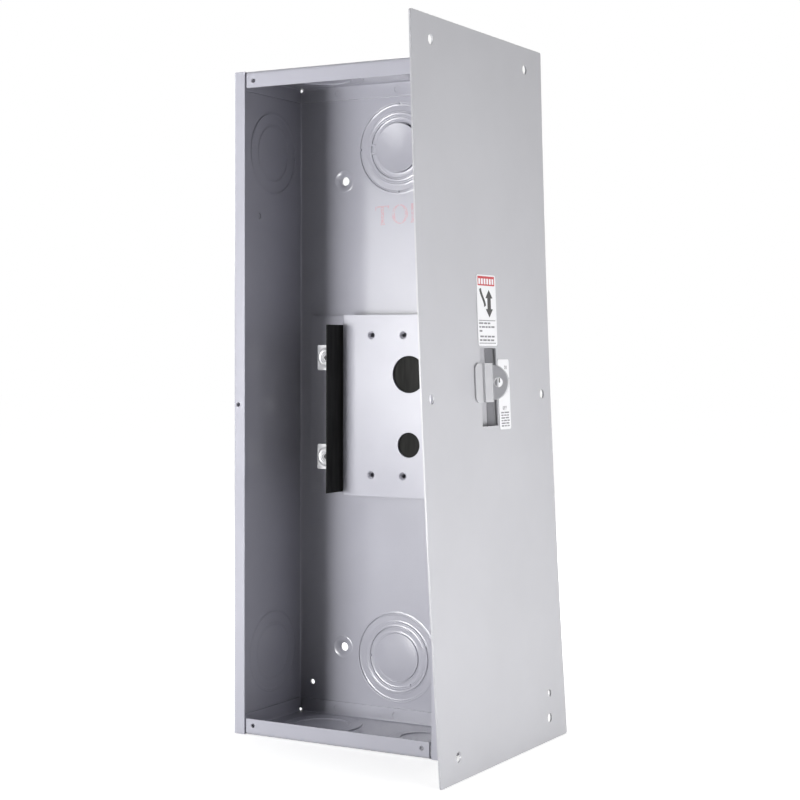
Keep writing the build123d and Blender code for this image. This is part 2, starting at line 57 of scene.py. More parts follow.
OVAL_POINTS = 49
TURN_POINTS = 96
DISC_POINTS = 41

Pair = tuple[float, float]
Triple = tuple[float, float, float]
Box = tuple[float, float, float, float]
Row = tuple[float, float, tuple[float, ...]]
Points = np.ndarray
Material = bpy.types.Material
Socket = bpy.types.NodeSocket


class Body(Enum):
    """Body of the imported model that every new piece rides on."""

    ENCLOSURE = "enclosure"


class Slot(Enum):
    """Material slots of the record, which no new piece is given."""

    BOX_PAINT = "box_paint"
    PAN_PAINT = "pan_paint"
    LUG_ALUMINIUM = "lug_aluminium"
    LABEL_FILM = "label_film"


class Ink(Enum):
    """Inks of the stickers."""

    RED = "red"
    DARK = "dark"
    GREY = "grey"


def shade(*parts: int) -> Triple:
    """Linear colour of a screen colour, by the standard screen curve.

    Args:
        parts: Red, green and blue from 0 to 255.

    Returns:
        The three linear parts from 0 to 1.
    """
    screen = np.array(parts) / 255
    linear = np.where(screen <= 0.04045, screen / 12.92, ((screen + 0.055) / 1.055) ** 2.4)
    return tuple(float(part) for part in linear)


def dim(colour: Triple, factor: float) -> Triple:
    """Colour with each part times a factor, held at 1."""
    return tuple(min(1.0, part * factor) for part in colour)


class Graph:
    """Shader nodes of one material, reading the object's own coordinates."""

    FACING = (0.995, 0.85)

    def __init__(self, name: str) -> None:
        """Starts an empty material.

        Args:
            name: The material's name.
        """
        self.material = bpy.data.materials.new(name)
        self.material.use_nodes = True
        self.tree = self.material.node_tree
        self.tree.nodes.clear()
        self.output = self.add("ShaderNodeOutputMaterial")
        self.coords = self.add("ShaderNodeTexCoord").outputs["Object"]

    def add(self, kind: str, sockets: dict | None = None, **settings: object) -> bpy.types.Node:
        """Adds a node.

        Args:
            kind: The node's type.
            sockets: Outputs, values or colours of three parts for its inputs, by name or number.
            settings: Properties of the node itself.

        Returns:
            The new node.
        """
        node = self.tree.nodes.new(kind)
        for key, value in settings.items():
            setattr(node, key, value)
        for key, value in (sockets or {}).items():
            socket = node.inputs[key]
            if isinstance(value, Socket):
                self.tree.links.new(value, socket)
            else:
                socket.default_value = (*value, 1.0) if socket.type == "RGBA" else value
        return node

    def noise(self, scale: float, detail: float, stretch: Triple = EVEN) -> Socket:
        """Cloudy noise from 0 to 1.

        Args:
            scale: Clouds to a metre.
            detail: Octaves of finer clouds.
            stretch: How much denser the clouds are along each axis.

        Returns:
            The noise's output.
        """
        place = self.add("ShaderNodeMapping", {"Vector": self.coords, "Scale": stretch})
        sockets = {"Vector": place.outputs[0], "Scale": scale, "Detail": detail}
        return self.add("ShaderNodeTexNoise", sockets).outputs[0]

    def tones(self, value: Socket, colour: Triple, factors: Pair, ends: Pair) -> Socket:
        """Colour that follows a value from a darker to a lighter tone.

        Args:
            value: The value to follow.
            colour: The middle colour.
            factors: How bright the first and the last tone are.
            ends: Values at which they are reached.

        Returns:
            The colour's output.
        """
        node = self.add("ShaderNodeValToRGB", {"Fac": value})
        for element, at, factor in zip(node.color_ramp.elements, ends, factors):
            element.position = at
            element.color = (*dim(colour, factor), 1.0)
        return node.outputs["Color"]

    def span(self, value: Socket, ends: Pair, to: Pair) -> Socket:
        """Value carried from one range, given by its ends, to another."""
        names = ("Value", "From Min", "From Max", "To Min", "To Max")
        return self.add("ShaderNodeMapRange", dict(zip(names, (value, *ends, *to)))).outputs[0]

    def mix(self, factor: Socket, first: Socket | Triple, second: Triple) -> Socket:
        """Colour between two colours, by the share of the second."""
        sockets = {0: factor, 6: first, 7: second}
        return self.add("ShaderNodeMix", sockets, data_type="RGBA").outputs[2]

    def bevel(self, radius: float) -> Socket:
        """Normal that turns smoothly over each edge at a radius, as paint does."""
        return self.add("ShaderNodeBevel", {"Radius": radius}, samples=4).outputs[0]

    def edges(self, rounded: Socket) -> Socket:
        """Share of edge: none on a flat face, one where the rounded normal turns away from it.

        Args:
            rounded: A rounded normal.

        Returns:
            The share's output.
        """
        flat = self.add("ShaderNodeNewGeometry").outputs["Normal"]
        dot = self.add("ShaderNodeVectorMath", {0: rounded, 1: flat}, operation="DOT_PRODUCT")
        return self.span(dot.outputs["Value"], self.FACING, (0.0, 1.0))

    def bump(self, height: Socket, depth: float, normal: Socket | None = None) -> Socket:
        """Normal of a surface raised by a height from 0 to 1, which is a depth in metres at 1."""
        under = {} if normal is None else {"Normal": normal}
        return self.add("ShaderNodeBump", {"Height": height, "Distance": depth, **under}).outputs[0]

    def surface(self, **sockets: object) -> Material:
        """Ends the graph in one principled shader.

        Args:
            sockets: Its inputs, with a space in a name written as an underscore.

        Returns:
            The finished material.
        """
        named = {key.replace("_", " "): value for key, value in sockets.items()}
        shader = self.add("ShaderNodeBsdfPrincipled", named)
        self.tree.links.new(shader.outputs[0], self.output.inputs["Surface"])
        return self.material


@dataclass(frozen=True)
class Relief:
    """Fine relief of a surface, which follows noise to a depth."""

    scale: float
    detail: float
    depth: float
    stretch: Triple = EVEN


WAVES = Relief(30.0, 1.0, 15e-6)
PEEL = Relief(420.0, 1.5, 16e-6)
SOFT_PEEL = Relief(420.0, 1.5, 8e-6)
FIBRES = Relief(260.0, 4.0, 30e-6, (1.0, 1.0, 0.12))
LINES = Relief(900.0, 3.0, 12e-6, (1.0, 1.0, 0.04))
GRAIN = Relief(900.0, 3.0, 12e-6)
PRESSED_WAVES = Relief(90.0, 1.0, 25e-6)


@dataclass(frozen=True)
class Finish:
    """Finish whose tone and gloss follow noise, with reliefs laid over rounded edges.

    Tone and gloss run between two factors of the colour and of the roughness. Where there is a
    painted edge light, the colour on edges is the colour times it: a painted highlight where it is
    above 1, and darker edges where it is below 1.
    """

    name: str
    colour: Triple
    roughness: float
    gloss_scale: float
    gloss_factors: Pair
    tone_scale: float
    tone_detail: float
    tone_factors: Pair
    edge_radius: float
    reliefs: tuple[Relief, ...]
    painted_edge_light: float | None = None
    tone_stretch: Triple = EVEN
    tone_range: Pair = CLOUD_RANGE
    reflection: float = 0.5
    metal_share: float = 0.0

    def material(self) -> Material:
        """Makes the finish's shader nodes.

        Returns:
            The material, ready for a slot.
        """
        graph = Graph(self.name)
        clouds = graph.noise(self.tone_scale, self.tone_detail, self.tone_stretch)
        tone = graph.tones(clouds, self.colour, self.tone_factors, self.tone_range)
        normal = graph.bevel(self.edge_radius)
        # Edges get the colour times the painted edge light, a painted highlight where it is above
        # 1.
        if self.painted_edge_light is not None:
            tone = graph.mix(graph.edges(normal), tone, dim(self.colour, self.painted_edge_light))
        for relief in self.reliefs:
            height = graph.noise(relief.scale, relief.detail, relief.stretch)
            normal = graph.bump(height, relief.depth, normal)
        low, high = (self.roughness * factor for factor in self.gloss_factors)
        patches = graph.noise(self.gloss_scale, detail=3.0)
        return graph.surface(
            Base_Color=tone,
            Roughness=graph.span(patches, CLOUD_RANGE, (low, high)),
            Normal=normal,
            Metallic=self.metal_share,
            Specular_IOR_Level=self.reflection,
        )


@dataclass(frozen=True)
class SatinPaint(Finish):
    """Baked satin paint on sheet steel: faint clouds, fine orange peel, painted highlights on
    edges.
    """

    roughness: float = 0.2
    gloss_scale: float = 60.0
    gloss_factors: Pair = (0.9, 1.12)
    tone_scale: float = 14.0
    tone_detail: float = 4.0
    tone_factors: Pair = (0.97, 1.03)
    edge_radius: float = 0.35 * MM
    reliefs: tuple[Relief, ...] = (WAVES, PEEL)
    # Edges are painted this much lighter, a painted highlight.
    painted_edge_light: float | None = 1.06


@dataclass(frozen=True)
class PressedFibre(Finish):
    """Black vulcanised fibre: long faint fibres, a matt calendered face and painted highlights on
    edges.
    """

    roughness: float = 0.75
    gloss_scale: float = 25.0
    gloss_factors: Pair = (0.85, 1.15)
    tone_scale: float = FIBRES.scale
    tone_detail: float = FIBRES.detail
    tone_factors: Pair = (0.7, 1.5)
    edge_radius: float = 0.2 * MM
    reliefs: tuple[Relief, ...] = (FIBRES,)
    # Edges are painted 2.6 times lighter, a painted highlight.
    painted_edge_light: float | None = 2.6
    tone_stretch: Triple = FIBRES.stretch
    tone_range: Pair = (0.3, 0.75)
    reflection: float = 0.12


@dataclass(frozen=True)
class BareMetal(Finish):
    """Unpainted metal with drawn lines along one direction and small dull patches."""

    roughness: float = 0.36
    gloss_scale: float = 180.0
    gloss_factors: Pair = (0.8, 1.2)
    tone_scale: float = 180.0
    tone_detail: float = 3.0
    tone_factors: Pair = (0.86, 1.05)
    edge_radius: float = 0.2 * MM
    reliefs: tuple[Relief, ...] = (LINES,)
    metal_share: float = 1.0


@dataclass(frozen=True)
class LabelFilm(Finish):
    """White vinyl film: a faint cast, small waves from pressing it down and darker cut edges."""

    roughness: float = 0.35
    gloss_scale: float = 120.0
    gloss_factors: Pair = (1.0, 1.0)
    tone_scale: float = 120.0
    tone_detail: float = 3.0
    tone_factors: Pair = (0.97, 1.0)
    edge_radius: float = 0.15 * MM
    reliefs: tuple[Relief, ...] = (PRESSED_WAVES,)
    # Cut edges get 0.8 of the colour, so they are darker.
    painted_edge_light: float | None = 0.8


@dataclass(frozen=True)
class PrintedInk:
    """Thin ink that lets what it is printed on show through in specks."""

    name: str
    colour: Triple
    under: Triple
    cover: float
    speck_scale: float = 2500.0
    roughness: float = 0.3
    speck_blur: float = 0.12
    speck_depth: float = 6e-6

    def material(self) -> Material:
        """Makes the ink's shader nodes.

        Returns:
            The material, ready for a slot.
        """
        graph = Graph(self.name)
        specks = graph.noise(self.speck_scale, detail=4.0)
        ends = (self.cover - self.speck_blur, self.cover + self.speck_blur)
        tone = graph.mix(graph.span(specks, ends, (0.0, 1.0)), self.colour, self.under)
        skin = graph.bump(specks, self.speck_depth)
        return graph.surface(Base_Color=tone, Roughness=self.roughness, Normal=skin)


class Finishes:
    """Every finish of the enclosure, made once and handed to the sub-assemblies."""

    BOX_COLOUR = shade(193, 193, 204)
    FILM_COLOUR = shade(246, 246, 249)
    OUTER_ROUGHNESS = 0.33

    def __init__(self) -> None:
        """Makes the materials."""
        outer, film = self.OUTER_ROUGHNESS, self.FILM_COLOUR
        soft, grain = (WAVES, SOFT_PEEL), (GRAIN,)
        self.box = SatinPaint("box_satin_paint", self.BOX_COLOUR).material()
        self.pan = SatinPaint("pan_satin_paint", shade(194, 194, 205), 0.24).material()
        cover = SatinPaint("cover_satin_paint", shade(193, 193, 198), outer, reliefs=soft)
        self.cover = cover.material()
        # The handle shares the cover's paint but is coloured lighter, and its edges a fifth lighter
        # again: painted highlights for the light that its faces and folded edges catch.
        handle = SatinPaint(
            "handle_satin_paint", shade(202, 202, 206), outer, edge_radius=0.8 * MM, painted_edge_light=1.2
        )
        self.handle = handle.material()
        self.fibre = PressedFibre("black_fibre", shade(45, 45, 44)).material()
        self.lug = BareMetal("lug_aluminium", shade(238, 238, 240), metal_share=0.6).material()
        self.screw = BareMetal("screw_zinc", shade(178, 178, 180), reliefs=grain).material()
        self.rivet = BareMetal("rivet_zinc", shade(190, 190, 192), reliefs=grain).material()
        self.film = LabelFilm("label_film", film).material()
        stamp = PrintedInk("stamp_ink", shade(204, 167, 178), self.BOX_COLOUR, 0.56, 700.0, 0.2)
        self.stamp = stamp.material()
        self.inks = {
            Ink.RED: PrintedInk("red_print", shade(196, 44, 54), film, 0.74).material(),
            Ink.DARK: PrintedInk("dark_print", shade(46, 44, 44), film, 0.78).material(),
            Ink.GREY: PrintedInk("grey_print", shade(120, 118, 124), film, 0.66).material(),
        }


def dress(material: Material, *nodes: str) -> None:
    """Gives CAD nodes their finish and reports them.

    Args:
        material: The finish.
        nodes: The nodes' names.
    """
    for node in nodes:
        slots = frame["nodes"][node].material_slots
        if not slots:
            frame["nodes"][node].data.materials.append(material)
        for slot in slots:
            slot.material = material
        LOG.info("dressed %s in %s", node, material.name)


@dataclass(frozen=True)
class Sheet:
    """Sheet to build on: a corner, the directions across and up, and how far its middle bows in."""

    origin: Vector
    across: Vector
    up: Vector
    height: float = 1.0
    bow: float = 0.0

    @property
    def out(self) -> Vector:
        """Direction that the sheet faces."""
        return self.across.cross(self.up)

    def place(self, flat: Points, lift: float | Points) -> Points:
        """Points of the sheet in the model's frame.

        A point is the origin plus a part across and a part up, moved out by the lift and in by the
        bow, which grows from nothing at both ends to its full depth in the middle as a parabola.

        Args:
            flat: Pairs across and up, one a row.
            lift: Height over the sheet, for all points or one a row.

        Returns:
            The places, one a row.
        """
        basis = np.array((self.across, self.up))
        sag = self.bow * (1 - (2 * flat[:, 1] / self.height - 1) ** 2)
        return flat @ basis + np.array(self.origin) + (lift - sag)[:, None] * np.array(self.out)


@dataclass
class Patch:
    """Grid of points with the faces between them."""

    points: Points
    faces: Points

    @staticmethod
    def grid(points: Points, wrap: bool = False) -> "Patch":
        """Patch over a grid of rows and columns.

        A face joins row i and i + 1 with column j and j + 1; wrapped, the last row meets the first.

        Args:
            points: Array of rows, columns and coordinates.
            wrap: Whether the rows close on themselves.

        Returns:
            The patch.
        """
        rows, columns = points.shape[:2]
        at = np.arange(rows * columns).reshape(rows, columns)
        if wrap:
            at = np.concatenate((at, at[:1]))
        corners = (at[:-1, :-1], at[1:, :-1], at[1:, 1:], at[:-1, 1:])
        faces = np.stack([corner.ravel() for corner in corners], axis=1)
        return Patch(points.reshape(-1, points.shape[2]), faces)

    @staticmethod
    def joined(patches: list["Patch"]) -> "Patch":
        """One patch of several, each one's faces counted on from the points before it.

        Args:
            patches: The patches to join.

        Returns:
            The joined patch.
        """
        starts = np.cumsum([0] + [len(patch.points) for patch in patches[:-1]])
        points = np.concatenate([patch.points for patch in patches])
        faces = np.concatenate([patch.faces + start for patch, start in zip(patches, starts)])
        return Patch(points, faces)


def piece(
    name: str,
    patches: list[Patch],
    material: Material,
    smooth: bool = False,
    ink: float = 0.0,
) -> None:
    """Makes a new piece of the part, which rides on the enclosure, and reports it.

    Args:
        name: The piece's name.
        patches: Its patches.
        material: Its finish.
        smooth: Whether it is shaded smoothly.
        ink: Thickness of a flat print, downwards from its face.
    """
    patch = Patch.joined(patches)
    mesh = bpy.data.meshes.new(name)
    mesh.from_pydata(patch.points.tolist(), [], patch.faces.tolist())
    mesh.materials.append(material)
    mesh.validate()
    made = bpy.data.objects.new(name, mesh)
    bpy.context.scene.collection.objects.link(made)
    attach(made, Body.ENCLOSURE.value)
    if smooth:
        mesh.shade_smooth()
    if ink:
        solid = made.modifiers.new("film", "SOLIDIFY")
        solid.thickness, solid.offset = ink, -1.0
    LOG.info("built %s with %d faces", name, len(mesh.polygons))


def between(lower: Points, upper: Points) -> Patch:
    """Flat stroke between two edge curves: a point is part lower edge and part upper edge."""
    return Patch.grid(np.stack((lower, upper), axis=1))


def bar(left: float, bottom: float, width: float, height: float) -> Patch:
    """Plain rectangle of print: across runs from left to right at two heights.

    Args:
        left: Left side.
        bottom: Bottom side.
        width: Size across.
        height: Size up.

    Returns:
        The rectangle.
    """
    across = np.linspace(left, left + width, BAR_POINTS)
    lower = np.stack((across, np.full(BAR_POINTS, bottom)), axis=1)
    return between(lower, lower + (0.0, height))


def oval(middle: Pair, outer: Pair, inner: Pair, turn: Pair = (0.0, 2 * math.pi)) -> Patch:
    """Ring of print between two ellipses round one middle, from one angle to another.

    Args:
        middle: Middle across and up.
        outer: Half sizes of the outer ellipse.
        inner: Half sizes of the inner ellipse.
        turn: First and last angle.

    Returns:
        The ring.
    """
    angle = np.linspace(*turn, OVAL_POINTS)
    circle = np.stack((np.cos(angle), np.sin(angle)), axis=1)
    return between(np.array(middle) + circle * outer, np.array(middle) + circle * inner)


@dataclass(frozen=True)
class StampLetters:
    """Serif letters of the orientation stamp, set in a box as tall as 1."""

    stem: float = 0.18
    hairline: float = 0.06
    serif: float = 0.16
    serif_power: int = 12
    drop: float = 0.2
    drop_power: int = 6
    steps: int = 33
    t_width: float = 0.84
    o_middle: Pair = (1.47, 0.5)
    o_outer: Pair = (0.48, 0.51)
    o_inner: Pair = (0.3, 0.45)
    p_stem: float = 2.24
    p_middle: Pair = (2.33, 0.74)
    p_outer: Pair = (0.4, 0.26)
    p_inner: Pair = (0.24, 0.2)

    def upright(self, middle: float, top: float) -> Patch:
        """Stem whose half width grows to a serif at its foot, with a high power of the way down.

        Args:
            middle: Place across.
            top: Top of the stem.

        Returns:
            The stem.
        """
        rise = np.linspace(0, 1, self.steps)
        half = self.stem / 2 + (self.serif - self.stem / 2) * (1 - rise) ** self.serif_power
        right = np.stack((middle + half, top * rise), axis=1)
        return between(right, np.stack((middle - half, top * rise), axis=1))

    def crossbar(self) -> Patch:
        """Top of the T: a hairline whose lower edge drops with a high power of the way out.

        Returns:
            The crossbar.
        """
        run = np.linspace(-1, 1, self.steps)
        across = self.t_width / 2 + self.t_width / 2 * run
        down = self.hairline + self.drop * np.abs(run) ** self.drop_power
        lower = np.stack((across, 1 - down), axis=1)
        return between(lower, np.stack((across, np.ones_like(across)), axis=1))

    def word(self) -> Patch:
        """The letters T, O and P side by side.

        Returns:
            The strokes, two coordinates a point.
        """
        letters = [
            self.crossbar(),
            self.upright(self.t_width / 2, 1 - self.hairline),
            oval(self.o_middle, self.o_outer, self.o_inner),
            self.upright(self.p_stem, 1.0),
            oval(self.p_middle, self.p_outer, self.p_inner, (-math.pi / 2, math.pi / 2)),
        ]
        return Patch.joined(letters)


@dataclass(frozen=True)
class PlainLetters:
    """Plain block letters for ON and OFF, in a box as tall as 1."""

    stroke: float = 0.15
    width: float = 0.62
    gap: float = 0.24
    slant_strokes: float = 1.5
    short_arm: float = 0.8

    def strokes(self, letter: str, left: float) -> list[Patch]:
        """Ring of an O, two stems and a slant of an N, or stem and two arms of an F.

        Args:
            letter: O, N or F.
            left: Left side of the letter.

        Returns:
            Its strokes, two coordinates a point.
        """
        stroke, half, arm = self.stroke, self.width / 2, self.width - self.stroke
        if letter == "O":
            return [oval((left + half, 0.5), (half, 0.5), (half - stroke, 0.5 - stroke))]
        stem = bar(left, 0, stroke, 1)
        if letter == "N":
            steep = self.slant_strokes * stroke
            lower = np.array(((left + stroke, 1 - steep), (left + arm, 0.0)))
            return [stem, between(lower, lower + (0.0, steep)), bar(left + arm, 0, stroke, 1)]
        upper = bar(left + stroke, 1 - stroke, arm, stroke)
        return [stem, upper, bar(left + stroke, 0.5, self.short_arm * arm, stroke)]

    def word(self, text: str) -> Patch:
        """Letters of a word side by side, centred across.

        Args:
            text: Word of the letters O, N and F.

        Returns:
            The strokes, two coordinates a point.
        """
        pitch = self.width + self.gap
        parts = [part for i, letter in enumerate(text) for part in self.strokes(letter, i * pitch)]
        word = Patch.joined(parts)
        word.points = word.points - ((len(text) * pitch - self.gap) / 2, 0.0)
        return word


def laid(patch: Patch, sheet: Sheet, scale: float, corner: Pair | Points, lift: float) -> Patch:
    """Print scaled to metres, moved to a corner on a sheet and placed at a lift over it."""
    return Patch(sheet.place(patch.points * scale + np.array(corner), lift), patch.faces)


@dataclass(frozen=True)
class Thread:
    """Ridge of a hole tapped from the front: a triangle carried along a helix on the hole's wall.

    The base and the tip are in pitches: where the base begins and ends, and how far the tip stands
    in from the wall. The start is the direction from the hole's middle where the ridge begins.
    """

    radius: float
    length: float
    pitch: float
    base: Pair = (0.05, 0.95)
    tip: float = 0.6
    turn_points: int = 24
    start: Triple = (0.61, 0.0, -0.31)

    def ridge(self, middle: Triple) -> Patch:
        """Ridge of one hole.

        At angle a the triangle is turned by a about the hole's axis and moved into the hole by a
        pitch for each whole turn.

        Args:
            middle: Middle of the hole's near end.

        Returns:
            The ridge.
        """
        inwards = np.array((0.0, 1.0, 0.0))
        side = np.array(self.start) / np.linalg.norm(self.start)
        other = np.cross(inwards, side)
        turns = self.length / self.pitch - 1
        angle = np.linspace(0, 2 * math.pi * turns, int(self.turn_points * turns) + 1)[:, None]
        reach = self.radius - np.array((0.0, self.tip, 0.0)) * self.pitch
        along = np.array((self.base[0], 0.5, self.base[1])) * self.pitch
        climb = angle / (2 * math.pi) * self.pitch + along
        ring = np.cos(angle)[..., None] * side + np.sin(angle)[..., None] * other
        return Patch.grid(np.array(middle) + ring * reach[:, None] + climb[..., None] * inwards)


def revolved(sheet: Sheet, radii: Points, heights: Points, lean: float = 0.0) -> Patch:
    """Surface turned about a sheet's zero: at each angle the same run of radii and heights.

    A point at radius r and angle a lies r cos a across and r sin a up the sheet, at its height plus
    the lean times its part up. The angles run backwards, so that growing radii face out.

    Args:
        sheet: Sheet to stand on.
        radii: Radii from the middle outwards.
        heights: Height at each radius.
        lean: Rise to a metre up the sheet.

    Returns:
        The closed ring.
    """
    angle = -np.linspace(0, 2 * math.pi, TURN_POINTS, endpoint=False)
    turn = np.stack((np.cos(angle), np.sin(angle)), axis=1)
    flat = (turn[:, None, :] * radii[None, :, None]).reshape(-1, 2)
    lift = np.tile(heights, TURN_POINTS) + lean * flat[:, 1]
    return Patch.grid(sheet.place(flat, lift).reshape(TURN_POINTS, len(radii), 3), wrap=True)


def disc(sheet: Sheet, radius: float, middle: float, rim: float) -> Patch:
    """Dished or domed disc: its height runs with the square of the radius from middle to rim.

    A square grid is pressed into the circle, each part shortened by the root of one less half the
    other's square, so that the disc has no pole.

    Args:
        sheet: Sheet to stand on.
        radius: Radius of the disc.
        middle: Height in the middle.
        rim: Height at the rim.

    Returns:
        The disc.
    """
    side = np.linspace(-1, 1, DISC_POINTS)
    across, up = np.meshgrid(side, side, indexing="ij")
    flat = np.stack((across * np.sqrt(1 - up**2 / 2), up * np.sqrt(1 - across**2 / 2)), axis=2)
    lift = middle + (rim - middle) * (flat**2).sum(axis=2)
    points = sheet.place(flat.reshape(-1, 2) * radius, lift.ravel())
    return Patch.grid(points.reshape(DISC_POINTS, DISC_POINTS, 3))


@dataclass(frozen=True)
class RolledLip:
    """Lip that a punch rolls up beside a round edge, on its outer side or its inner side."""

    width: float = 1.5 * MM
    rise: float = 0.16 * MM
    columns: int = 8

    def beside(
        self, sheet: Sheet, edge: float, side: int, level: float = 0.0, lean: float = 0.0
    ) -> Patch:
        """Lip on one side of an edge.

        With u from 0 at the edge to 1 at the lip's far side, the height is 27/4 u (1 - u) squared
        of the full rise: steep at the edge, full at a third and level with the wall at the end.

        Args:
            sheet: Sheet with its zero in the edge's middle.
            edge: Radius of the edge.
            side: 1 for a lip outside the edge and -1 for one inside it.
            level: Height of the wall over the sheet.
            lean: Rise of the wall to a metre up the sheet.

        Returns:
            The lip.
        """
        run = np.linspace(0, 1, self.columns)[::side]
        rise = self.rise * 27 / 4 * run * (1 - run) ** 2
        return revolved(sheet, edge + side * run * self.width, level + rise, lean)


@dataclass(frozen=True)
class Knockout:
    """Half-sheared rings on a wall, with the height and lean of the face beside each of them."""

    sheet: Sheet
    diameters: tuple[float, ...]
    levels: tuple[float, ...]
    leans: tuple[float, ...] = (0.0,) * 5

    def lips(self) -> list[Patch]:
        """Lips rolled up on both sides of each shear."""
        lip = RolledLip()
        return [
            lip.beside(self.sheet, diameter / 2, side, self.levels[face], self.leans[face])
            for ring, diameter in enumerate(self.diameters)
            for side, face in ((1, ring), (-1, ring + 1))
        ]


@dataclass
class BoxShell:
    """Folded wrapper and the two flanged ends, with pressings, stamp and tapped holes."""

    finishes: Finishes
    sheet: float = 1.5 * MM
    seam: float = 0.1 * MM
    stamp_left: float = -18.2 * MM
    stamp_bottom: float = 355.1 * MM
    stamp_height: float = 13.6 * MM
    stamp_tilt: float = math.radians(2.4)
    ink: float = 0.03 * MM
    tapped_radius: float = 1.6 * MM
    thread_pitch: float = 0.5 * MM
    end_screw_from_side: float = 16.6 * MM
    end_screw_from_end: float = 6.6 * MM
    side_screw_from_edge: float = 4.2 * MM
    knockout_step: float = 0.6 * MM
    knockout_lean: float = math.tan(math.radians(1.2))
    back_rings: tuple[float, ...] = (62.7 * MM, 50.4 * MM, 44.0 * MM, 34.6 * MM)
    gutter_rings: tuple[float, ...] = (56.5 * MM, 39.0 * MM)
    small_rings: tuple[float, ...] = (44.0 * MM, 28.2 * MM)
    back_knockout_from_end: float = 47.5 * MM
    side_knockout_from_end: float = 50.8 * MM
    gutter_from_front: float = 47.0 * MM
    end_knockout_from_middle: float = 40.0 * MM
    slug_middle: float = 0.95 * MM
    dished_slug_rim: float = 1.9 * MM
    domed_slug_rim: float = 0.04 * MM
    slug_hollow: float = -0.85 * MM
    foot_spacing: float = 90.0 * MM
    foot_heights: Pair = (51.0 * MM, 388.0 * MM)
    foot_hole: float = 3.1 * MM
    foot_lip: float = 7.6 * MM
    foot_edge: float = 8.6 * MM
    foot_depth: float = 1.97 * MM
    foot_rise: float = 0.15 * MM
    foot_slope: float = 0.38
    foot_columns: int = 12

    def back(self, across: float, up: float) -> Sheet:
        """Back wall's inner face, with its zero at a place on it."""
        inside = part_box("mounting_pan")[1].y + self.seam
        return Sheet(Vector((across, inside, up)), Vector((1, 0, 0)), Vector((0, 0, 1)))

    def back_knockouts(self) -> tuple[Sheet, Sheet]:
        """Places of the back's knockouts.

        Returns:
            The lower and the upper one's sheet.
        """
        low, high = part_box("bottom_end_cap")[0].z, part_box("top_end_cap")[1].z
        lower = self.back(0, low + self.back_knockout_from_end)
        return lower, self.back(0, high - self.back_knockout_from_end)

    def knockouts(self) -> list[Knockout]:
        """Places every knockout.

        Returns:
            Those of the back, the sides and the ends.
        """
        low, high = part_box("bottom_end_cap")[0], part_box("top_end_cap")[1]
        step, lean = self.knockout_step, self.knockout_lean
        pressed = (0.0, -step, 0.0, -step, 0.0)
        made = [Knockout(sheet, self.back_rings, pressed) for sheet in self.back_knockouts()]
        gutter_y = low.y + self.gutter_from_front
        level, leans = (0.0, 0.0, 0.0), (0.0, lean, 2 * lean)
        lower, upper = low.z + self.side_knockout_from_end, high.z - self.side_knockout_from_end
        for side in (-1, 1):
            for z, rise in ((lower, -1), (upper, 1)):
                across, out = Vector((0, 1, rise)).normalized(), Vector((-side, 0, 0))
                at = Vector((side * (high.x + self.seam), gutter_y, z))
                sheet = Sheet(at, across, out.cross(across))
                made.append(Knockout(sheet, self.gutter_rings, level, leans))
        raised = (0.0, step, 0.0)
        for side, rings in ((-1, self.gutter_rings), (1, self.small_rings)):
            for z, turn in ((low.z + self.sheet, 1), (high.z - self.sheet, -1)):
                at = Vector((side * self.end_knockout_from_middle, gutter_y, z))
                sheet = Sheet(at, Vector((turn, 0, 0)), Vector((0, 1, 0)))
                made.append(Knockout(sheet, rings, raised))
        return made

    def lips(self) -> None:
        """Builds the lips beside every knockout's shears."""
        lips = [lip for knockout in self.knockouts() for lip in knockout.lips()]
        piece("knockout_lips", lips, self.finishes.box, smooth=True)

    def slugs(self) -> None:
        """Builds the skins of the back's slugs, inside and outside, and the rims they end in."""
        radius = self.back_rings[-1] / 2
        skins = []
        for sheet, rim in zip(self.back_knockouts(), (self.domed_slug_rim, self.dished_slug_rim)):
            behind = sheet.origin + Vector((0, self.sheet, 0))
            outside = Sheet(behind, -sheet.across, sheet.up)
            edge = np.array((rim, -self.knockout_step))
            skins.append(disc(sheet, radius, self.slug_middle, rim))
            skins.append(revolved(sheet, np.array((radius, radius)), edge))
            skins.append(disc(outside, radius, self.slug_hollow, self.domed_slug_rim))
        piece("knockout_slugs", skins, self.finishes.box, smooth=True)

    def feet(self) -> None:
        """Builds the dished feet round the wall screws.

        A foot drops from its lip to its hole, partly straight and partly with the cube of the way
        in, and falls from its lip to the wall with the cosine of a half turn.
        """
        run = np.linspace(0, 1, self.foot_columns)
        inner = self.foot_hole + run * (self.foot_lip - self.foot_hole)
        outer = self.foot_lip + run * (self.foot_edge - self.foot_lip)
        drop = self.foot_slope * (1 - run) + (1 - self.foot_slope) * (1 - run) ** 3
        climb = self.foot_rise - (self.foot_depth + self.foot_rise) * drop
        fall = self.foot_rise * (1 + np.cos(run * math.pi)) / 2
        radii, heights = np.concatenate((inner, outer[1:])), np.concatenate((climb, fall[1:]))
        feet = [
            revolved(self.back(side * self.foot_spacing / 2, up), radii, heights)
            for side in (-1, 1)
            for up in self.foot_heights
        ]
        piece("wall_screw_feet", feet, self.finishes.box, smooth=True)

    def stamp(self) -> None:
        """Builds the stamp on the back wall, turned by its tilt about its lower left corner."""
        word = StampLetters().word()
        cos, sin = math.cos(self.stamp_tilt), math.sin(self.stamp_tilt)
        word.points = word.points @ np.array(((cos, sin), (-sin, cos)))
        corner = (self.stamp_left, self.stamp_bottom)
        placed = laid(word, self.back(0, 0), self.stamp_height, corner, self.ink)
        piece("top_stamp", [placed], self.finishes.stamp, ink=self.ink)

